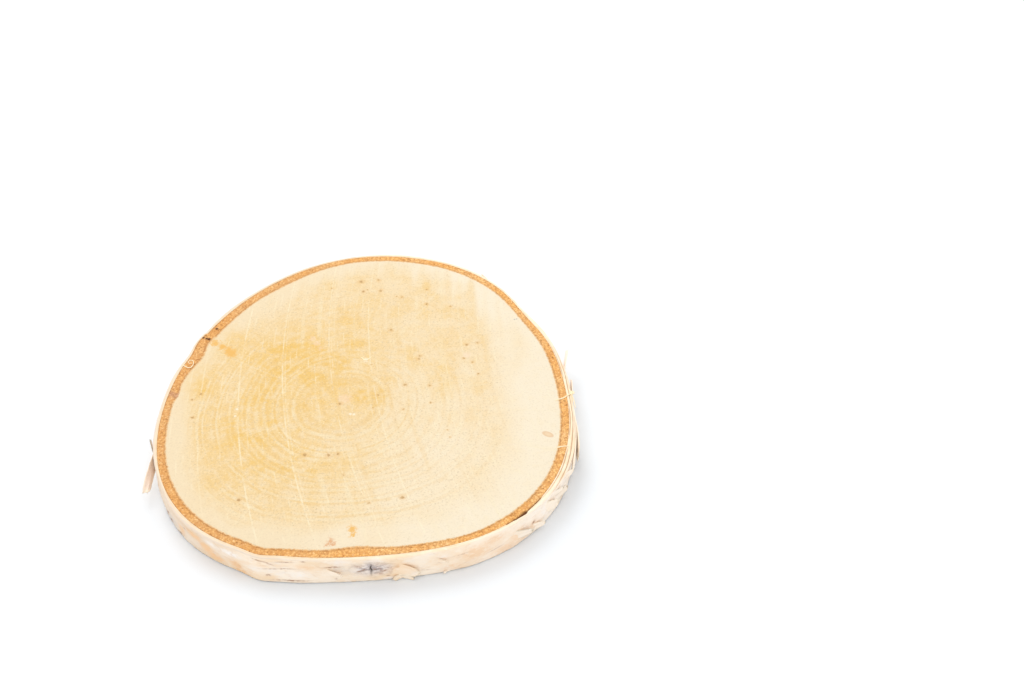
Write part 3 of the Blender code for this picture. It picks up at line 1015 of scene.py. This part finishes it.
# %% Rays and streaks
outward = vector("NORMALIZE", vector("SUBTRACT", spot, (*PITH, TOP)))
slow_growth = add("ShaderNodeCombineXYZ", (0.0, 0.0, growth_here))
rays = cloudy(vector("ADD", stretch(outward, (30.0, 30.0, 0.0)), slow_growth), 1.0, 3.0, 0.6)
lay(fade(rays, 0.55, 0.75), PALE_LINE, 0.30)
along_saw = add("ShaderNodeCombineXYZ", (times(saw_here, 0.36), 0.0, times(growth_here, 1.2)))
streaks = cloudy(along_saw, 1.0, 3.0, 0.6)
lay(times(fade(streaks, 0.54, 0.72), heart_here), BAND_TAN, 0.24)
lay(fade(streaks, 0.44, 0.28), PALE_LINE, 0.35)
print("nodes with rays and streaks:", len(tree.nodes))

# %% Saw marks
# Each as (place across the saw's arcs, half width, strength)
SAW_LINES = (
    (-45.2, 0.15, 0.50), (-35.2, 0.15, 0.75), (-23.5, 0.15, 0.75), (-22.7, 0.10, 0.35), (-10.0, 0.14, 0.60),
    (-8.6, 0.10, 0.35), (1.0, 0.14, 0.55), (14.0, 0.12, 0.30), (26.0, 0.12, 0.20), (37.0, 0.12, 0.15),
)
SCRATCH_PALE = (0.83, 0.75, 0.54)
FINE_LINES_APART = 1.7
saw_share = None
for line_place, half_width, strength in SAW_LINES:
    away = maths("ABSOLUTE", maths("SUBTRACT", saw_here, line_place))
    line = fade(away, 2.0 * half_width, 0.4 * half_width, 0.0, strength)
    saw_share = line if saw_share is None else maths("MAXIMUM", saw_share, line)
broken = cloudy_fade(stretch(spot, (0.5, 0.16, 1.0)), 1.0, 3.0, 0.6, 0.40, 0.62, 0.15, 1.0)
saw_share = times(saw_share, broken)
lay(saw_share, SCRATCH_PALE, 0.70)
fine_turns = maths("FRACT", times(saw_here, 1 / FINE_LINES_APART))
fine_lines = fade(maths("ABSOLUTE", maths("SUBTRACT", fine_turns, 0.5)), 0.16, 0.03)
fine_where = cloudy_fade(stretch(spot, (0.8, 0.2, 1.0)), 0.6, 3.0, 0.5, 0.52, 0.66)
lay(times(fine_lines, fine_where), SCRATCH_PALE, 0.30)
print(len(SAW_LINES), "deep saw marks")

# %% Fine grain
DARK_GRAIN = (0.46, 0.36, 0.23)
LIGHT_GRAIN = (0.90, 0.75, 0.48)
SOFT_PATCH = (0.755, 0.635, 0.440)
PORE_BROWN = (0.50, 0.29, 0.11)
PORES_PER_MM = 1.15
speckle = cloudy(spot, 1.9, 4.0, 0.75)
speckled = fade(heart_here, 0.0, 1.0, 0.50, 1.0)
lay(cloudy_fade(spot, 0.5, 3.0, 0.6, 0.48, 0.68), SOFT_PATCH, 0.32)
lay(times(fade(speckle, 0.48, 0.32), speckled), DARK_GRAIN, 0.52)
lay(times(fade(speckle, 0.54, 0.70), speckled), LIGHT_GRAIN, 0.50)
from_pore = add("ShaderNodeTexVoronoi", (spot, None, PORES_PER_MM), feature="F1")
pore_tag = add("ShaderNodeTexVoronoi", (spot, None, PORES_PER_MM), out=1, feature="F1")
pore_pick = add("ShaderNodeSeparateColor", (pore_tag,))
lay(times(fade(from_pore, 0.24, 0.08), fade(pore_pick, 0.55, 0.62), speckled), PORE_BROWN, 0.42)
print("pores about", round(1 / PORES_PER_MM, 2), "mm apart")

# %% Flecks and stains on the wood
STAIN_ORANGE = (0.72, 0.40, 0.09)
STAIN_RED = (0.60, 0.25, 0.08)
PATCH_PINK = (0.80, 0.60, 0.46)
HALO_BROWN = (0.66, 0.39, 0.13)
FLECK_BROWN = (0.360, 0.190, 0.060)
SPECK_WHITE = (0.88, 0.84, 0.72)
SCRAPE_GREY = (0.36, 0.34, 0.33)


def scaled(marks, factor):
    """The same marks with another radius."""
    return tuple((mark_x, mark_y, size * factor) for mark_x, mark_y, size in marks)


shake = add("ShaderNodeTexNoise", (spot, None, 1.6, 3.0, 0.6), out=1)
shake = stretch(vector("SUBTRACT", shake, (0.5, 0.5, 0.5)), (1.3, 1.3, 0.0))
shaken = vector("ADD", spot, shake)
loosely = vector("ADD", spot, stretch(shake, (2.6, 2.6, 0.0)))
lay(near_marks(loosely, ORANGE_STAINS, 0.65), STAIN_ORANGE, 0.90)
lay(near_marks(loosely, RED_STAINS, 0.7), STAIN_RED, 0.66)
lay(near_marks(loosely, PINK_PATCHES, 0.8), PATCH_PINK, 0.40)
lay(near_marks(shaken, scaled(FLECKS, 2.8), 0.9), HALO_BROWN, 0.45)
lay(near_marks(shaken, scaled(FLECKS, 1.2), 0.9), FLECK_BROWN, 0.72)
lay(near_marks(shaken, WHITE_SPECKS, 0.6), SPECK_WHITE, 0.55)
lay(near_marks(spot, SCRAPES, 0.5), SCRAPE_GREY, 0.6)
print("nodes with flecks and stains:", len(tree.nodes))

# %% The knot at the right
KNOT_TAN = (0.72, 0.48, 0.26)
KNOT_RIM = (0.58, 0.33, 0.16)
knot_spot = vector("SUBTRACT", spot, (*KNOT_MIDDLE, TOP))
knot_turned = add("ShaderNodeVectorRotate", (knot_spot, None, None, math.radians(28)), rotation_type="Z_AXIS")
knot_far = vector("LENGTH", stretch(knot_turned, (1 / KNOT_HALF_LONG, 1 / KNOT_HALF_WIDE, 1.0)), out=1)
lay(fade(knot_far, 1.05, 0.6), KNOT_TAN, 0.58)
lay(times(fade(knot_far, 1.0, 0.85), fade(knot_far, 0.25, 0.85)), KNOT_RIM, 0.38)
coloured_and_bumped(maths("MULTIPLY_ADD", saw_share, 0.6, speckle), 0.05, 0.5)
print("nodes in the wood's finish:", len(tree.nodes))

# %% [markdown]
# ## The finish of inner bark
#
# The inner bark is the food-carrying layer, orange-brown and crumbly as cork. Its grains are about
# a third of a millimetre across, some nearly black and some straw-coloured, and it is darkest
# along the two edges. Cells from a Voronoi pattern give the grains their size.

# %% Finish of the inner bark
CORK_ORANGE = (0.90, 0.485, 0.150)
CORK_STRAW = (0.92, 0.575, 0.240)
CORK_SHADE = (0.58, 0.28, 0.09)
COLUMN_BROWN = (0.52, 0.21, 0.06)
GRAIN_BROWN = (0.56, 0.23, 0.06)
NEARLY_BLACK = (0.30, 0.11, 0.03)
STRAW_DOT = (0.93, 0.66, 0.36)
EDGE_BROWN = (0.46, 0.20, 0.06)
DUSTY_EDGE = (0.81, 0.57, 0.31)
NOTCH_BLACK = (0.10, 0.035, 0.012)
GAP_DARK = (0.16, 0.06, 0.02)
WEDGE_DARK = (0.38, 0.17, 0.09)
WEDGE_LIGHT = (0.72, 0.42, 0.26)
NOTCH_MARKS = (
    (-46.5, 22.3, 0.75), (-47.2, 22.6, 0.6), (-48.1, 22.9, 0.55), (-47.5, 23.7, 0.35), (-45.0, 26.6, 0.6),
)
# A reddish wedge in the ring at the left
WEDGE_MARKS = ((-53.0, 0.8, 1.6), (-51.8, 0.2, 1.7), (-50.8, -0.8, 1.3))

inner_look = finish("crumbly inner bark", 0.85)
spot = slice_place()
across_here = stored("across")
colour = blend(cloudy_fade(spot, 0.10, 3.0, 0.5, 0.35, 0.65), CORK_ORANGE, CORK_STRAW)
lay(fade(rightward(spot), 10.0, -35.0, 0.0, 0.34), CORK_SHADE)
facing = vector("NORMALIZE", stretch(spot, (1.0, 1.0, 0.0)))
slow_across = add("ShaderNodeCombineXYZ", (0.0, 0.0, across_here))
columns = cloudy(vector("ADD", stretch(facing, (75.0, 75.0, 0.0)), slow_across), 1.0, 3.0, 0.6)
lay(fade(columns, 0.50, 0.34, 0.0, 0.45), COLUMN_BROWN)
grains = add("ShaderNodeTexVoronoi", (spot, None, 1.7), feature="F1")
lay(fade(grains, 0.25, 0.62, 0.0, 0.55), GRAIN_BROWN)
dots = cloudy(spot, 1.5, 4.0, 0.75)
lay(fade(dots, 0.46, 0.32, 0.0, 0.85), NEARLY_BLACK)
lay(fade(dots, 0.55, 0.70, 0.0, 0.75), STRAW_DOT)
print("nodes for the crumbs and grains:", len(tree.nodes))

# %% Edges of the inner bark
edge_breaks = cloudy(spot, 0.8, 3.0)
lay(times(fade(across_here, 0.30, 0.10), fade(edge_breaks, 0.36, 0.60, 0.25, 0.95)), EDGE_BROWN)
lay(fade(across_here, 0.14, 0.0, 0.0, 0.85), DUSTY_EDGE)
lay(times(fade(across_here, 0.84, 0.97), fade(edge_breaks, 0.40, 0.62, 0.30, 0.95)), NEARLY_BLACK)
lay(near_marks(spot, NOTCH_MARKS, 0.7), NOTCH_BLACK)
lay(stored("gap"), GAP_DARK)
wedge_tint = blend(fade(dots, 0.42, 0.58), WEDGE_DARK, WEDGE_LIGHT)
lay(near_marks(spot, WEDGE_MARKS, 0.9), wedge_tint, 0.75)
coloured_and_bumped(maths("ADD", grains, dots), 0.16, 0.9)
print("nodes in the inner bark's finish:", len(tree.nodes))

# %% [markdown]
# ## The finish of outer bark
#
# The paper layers are pinkish white, tan where a layer has just torn off, and greyer where they have
# weathered. The breathing pores are brown, and so are the torn edges, whose brown line is partly
# painted shade along each step. Round the scar the bark is grey with dark wrinkles. On the sawn lip
# the layers end as a pale yellow line. The masks kept on the points say where each of these is, and
# noise stretched round the trunk adds the fibres.

# %% The paper of the bark
PAPER_WHITE = (0.975, 0.845, 0.690)
PAPER_TAN = (0.910, 0.700, 0.480)
PAPER_GREY = (0.880, 0.800, 0.740)
FIBRE_DARK = (0.76, 0.54, 0.38)
FIBRE_LIGHT = (0.975, 0.905, 0.820)


def bark_colour(spot, level):
    """The paper's own colour, from its place and from which layer shows, and its fibres."""
    patches = maths("MULTIPLY_ADD", level, 0.35, cloudy(stretch(spot, (1.0, 1.0, 1.8)), 0.14, 3.0, 0.55))
    paper = blend(fade(patches, 0.50, 0.86), PAPER_WHITE, PAPER_TAN)
    greyed = cloudy_fade(stretch(spot, (1.0, 1.0, 2.2)), 0.21, 4.0, 0.6, 0.52, 0.74, 0.0, 0.55)
    paper = blend(greyed, paper, PAPER_GREY)
    fibres = cloudy(stretch(spot, (1.0, 1.0, 2.6)), 0.9, 4.0, 0.65)
    paper = blend(fade(fibres, 0.42, 0.28, 0.0, 0.30), paper, FIBRE_DARK)
    return blend(fade(fibres, 0.56, 0.74, 0.0, 0.6), paper, FIBRE_LIGHT), fibres


# %% Finish of the outer bark
SHADED_PAPER = (0.700, 0.560, 0.440)
LIT_PAPER = (1.0, 0.900, 0.790)
TORN_TAN = (0.88, 0.575, 0.32)
CLEAN_WHITE = (0.945, 0.875, 0.810)
OLD_GREY = (0.620, 0.575, 0.530)
# Brown of the torn edges, which also stands in for painted shade at each terrace step
TORN_EDGE_AND_SHADE = (0.68, 0.42, 0.24)
PORE_RUST = (0.52, 0.27, 0.15)
SCAR_LIGHT = (0.82, 0.75, 0.72)
SCAR_DARK = (0.38, 0.33, 0.34)
SCAR_RED = (0.42, 0.20, 0.13)
LINE_BROWN_AND_SHADOW = (0.38, 0.19, 0.11)
CRACK_BLACK = (0.045, 0.030, 0.022)

outer_look = finish("papery outer bark", 0.68)
spot = slice_place()
paper, fibres = bark_colour(spot, stored("terrace"))
paper = blend(fade(rightward(spot), -22.0, -42.0, 0.0, 0.50), paper, SHADED_PAPER)
colour = paper
ragged = cloudy_fade(stretch(spot, (1.0, 1.0, 1.6)), 0.9, 4.0, 0.65, 0.34, 0.60, 0.45, 1.15)
lay(times(times(stored("tan"), 1.55), ragged, clamp=True), TORN_TAN)
lay(times(stored("white"), ragged, clamp=True), CLEAN_WHITE)
lay(times(stored("grey"), ragged, clamp=True), OLD_GREY)
lay(fade(rightward(spot), 8.0, 40.0, 0.0, 0.35), LIT_PAPER)
# Brown along the torn terrace edges, partly their own colour and partly painted shade along each step
lay(times(stored("torn_edge_and_shade"), cloudy_fade(spot, 0.5, 3.0, 0.5, 0.36, 0.60)), TORN_EDGE_AND_SHADE, 0.26)
lay(stored("pore"), PORE_RUST, 0.62)
print("nodes for the paper and its patches:", len(tree.nodes))

# %% Scar, crack, brown lines and a painted shadow
scar_here = stored("scar")
scar_noise = cloudy_fade(stretch(spot, (1.0, 1.0, 1.8)), 0.55, 4.0, 0.65, 0.38, 0.60)
lay(scar_here, blend(scar_noise, SCAR_LIGHT, SCAR_DARK), 0.85)
red_specks = cloudy_fade(spot, 1.5, 3.0, 0.6, 0.56, 0.66)
lay(times(scar_here, red_specks, fade(rightward(spot), 3.0, 5.5, 0.15, 0.75)), SCAR_RED)
line_breaks = cloudy_fade(spot, 1.3, 3.0, 0.6, 0.36, 0.56, 0.40, 1.35)
# Brown lines and dots of the bark, and the painted shadow above the lens-shaped flake
lay(times(stored("line"), line_breaks, clamp=True), LINE_BROWN_AND_SHADOW)
lay(stored("crack"), CRACK_BLACK)
print("nodes with the scar and the lines:", len(tree.nodes))

# %% The sawn lip of the bark
LIP_PALE = (0.910, 0.775, 0.580)
LIP_TAN = (0.890, 0.690, 0.470)
LIP_SHADED = (0.740, 0.590, 0.410)
LIP_SKIN = (0.720, 0.610, 0.510)
GROOVE_BROWN = (0.50, 0.27, 0.12)
lip_left = fade(rightward(spot), 10.0, -30.0, 0.0, 0.80)
lip_colour = blend(cloudy_fade(spot, 0.4, 3.0, 0.5, 0.35, 0.65), LIP_PALE, LIP_TAN)
lip_colour = blend(times(lip_left, 0.6), lip_colour, LIP_SHADED)
lip_colour = blend(times(stored("outermost"), 0.9), lip_colour, blend(lip_left, paper, LIP_SKIN))
lip_colour = blend(stored("groove"), lip_colour, GROOVE_BROWN)
lay(stored("lip"), lip_colour)
lay(stored("gap"), GAP_DARK)
coloured_and_bumped(fibres, 0.12, 0.7)
print("nodes in the outer bark's finish:", len(tree.nodes))

# %% [markdown]
# ## The finish of the strips and threads
#
# A peeled strip shows the same paper outside. Its inner side is fresher and pinker, and its torn edges
# are pale, but on one old nub they have gone dark. Threads are bleached fibre with a hint of yellow.

# %% Finish of strips and threads
INNER_SIDE = (0.960, 0.830, 0.750)
FRESH_EDGE = (0.965, 0.850, 0.650)
FRESH_PEACH = (0.920, 0.640, 0.400)
WEATHERED_EDGE = (0.300, 0.270, 0.210)
LIT_STRIP = (1.0, 0.900, 0.780)
# The flake at the front, as (x, y, radius)
PEACH_FLAKE = ((12.4, -55.0, 8.2),)

strip_look = finish("peeled bark", 0.66)
spot = slice_place()
colour, fibres = bark_colour(spot, cloudy(spot, 0.3, 2.0))
lay(fade(rightward(spot), 8.0, 40.0, 0.0, 0.50), LIT_STRIP)
lay(stored("back"), INNER_SIDE, 0.85)
lay(stored("edge"), FRESH_EDGE, 0.60)
lay(near_marks(spot, PEACH_FLAKE, 0.6), FRESH_PEACH, 0.55)
lay(times(stored("weathered"), fade(stored("edge"), 0.0, 0.8, 0.12, 1.0)), WEATHERED_EDGE)
coloured_and_bumped(fibres, 0.08, 0.6)

THREAD_PALE = (0.97, 0.86, 0.62)
THREAD_YELLOW = (0.92, 0.74, 0.46)
thread_look = finish("bleached fibre", 0.7)
feed(shader.inputs["Base Color"], blend(cloudy(slice_place(), 1.2, 3.0), THREAD_PALE, THREAD_YELLOW))
print("finishes:", [m.name for m in (wood_look, inner_look, outer_look, strip_look, thread_look)])

# %% [markdown]
# ## Dress the slice
#
# Each piece gets its finish and is tied to the slice's one body. All of them together stand for
# the measured solid, which is then hidden.

# %% Give every piece its finish and its body


def dress(piece, look):
    """Give a piece its finish, tie it to the slice's body, and let it stand for the measured solid."""
    piece.data.materials.append(look)
    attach(piece, "root")
    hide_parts("birch_slice")


dress(sawn_wood, wood_look)
dress(inner_bark, inner_look)
dress(outer_bark, outer_look)
for piece in strips:
    dress(piece, strip_look)
for piece in threads:
    dress(piece, thread_look)
print(3 + len(strips) + len(threads), "pieces ride on the slice")

# %% [markdown]
# ## Floor, light and camera
#
# The slice lies on white card in very soft light, so its shadow is only a faint grey edge in front.
# The floor is bright enough to leave the picture white. A large lamp behind the slice, on the left,
# gives the soft shadow its side, and the bright surroundings fill in the rim.
# The camera looks down at 42.7 degrees from the front right of the slice's middle, and it is level.

# %% Set up the picture
FLOOR_REACH = 1.6
CARD_WHITE = (0.805, 0.832, 0.862)
floor_mesh = bpy.data.meshes.new("floor")
corners = [(FLOOR_REACH * x, FLOOR_REACH * y, 0) for x, y in ((-1, -1), (1, -1), (1, 1), (-1, 1))]
floor_mesh.from_pydata(corners, [], [(0, 1, 2, 3)])
floor = bpy.data.objects.new("floor", floor_mesh)
bpy.context.scene.collection.objects.link(floor)
floor.location.z = float(cad_box[0].z)
floor_look = finish("white card", 0.9)
feed(shader.inputs["Base Color"], (*CARD_WHITE, 1))
floor_mesh.materials.append(floor_look)

world = bpy.data.worlds.new("bright room")
world.use_nodes = True
background = world.node_tree.nodes["Background"]
background.inputs["Color"].default_value = (1.0, 1.0, 1.0, 1)
background.inputs["Strength"].default_value = 1.09
bpy.context.scene.world = world


def lamp(name, position, aim, size, power):
    """A round area lamp that points at a place."""
    light = bpy.data.lights.new(name, "AREA")
    light.shape = "DISK"
    light.size = size
    light.energy = power
    made = bpy.data.objects.new(name, light)
    made.location = position
    made.rotation_euler = (Vector(aim) - Vector(position)).to_track_quat("-Z", "Y").to_euler()
    bpy.context.scene.collection.objects.link(made)
    return made


lamp("soft lamp", (-0.32, 0.50, 0.88), (0, 0, 0), 0.7, 3.2)

# From the outline's middle and the top face, in mm
CAMERA_PLACE = (36.9, -267.3, 263.3)
CAMERA_LOOKS_DOWN = 42.7
camera_data = bpy.data.cameras.new("camera")
camera_data.lens = 50
camera_data.sensor_width = 36
camera = bpy.data.objects.new("camera", camera_data)
camera.location = (Vector(CAMERA_PLACE) + Vector((*MIDDLE, TOP))) * MM
camera.rotation_euler = (math.radians(90 - CAMERA_LOOKS_DOWN), 0, 0)
bpy.context.scene.collection.objects.link(camera)
bpy.context.scene.camera = camera
bpy.context.scene.view_settings.view_transform = "Standard"
print("camera at, mm:", [round(c / MM, 1) for c in camera.location])

# %% [markdown]
# ## Update the scene
#
# The finer skins must not make the slice bigger than the measured solid; the script ends by updating the
# scene.

bpy.context.view_layer.update()
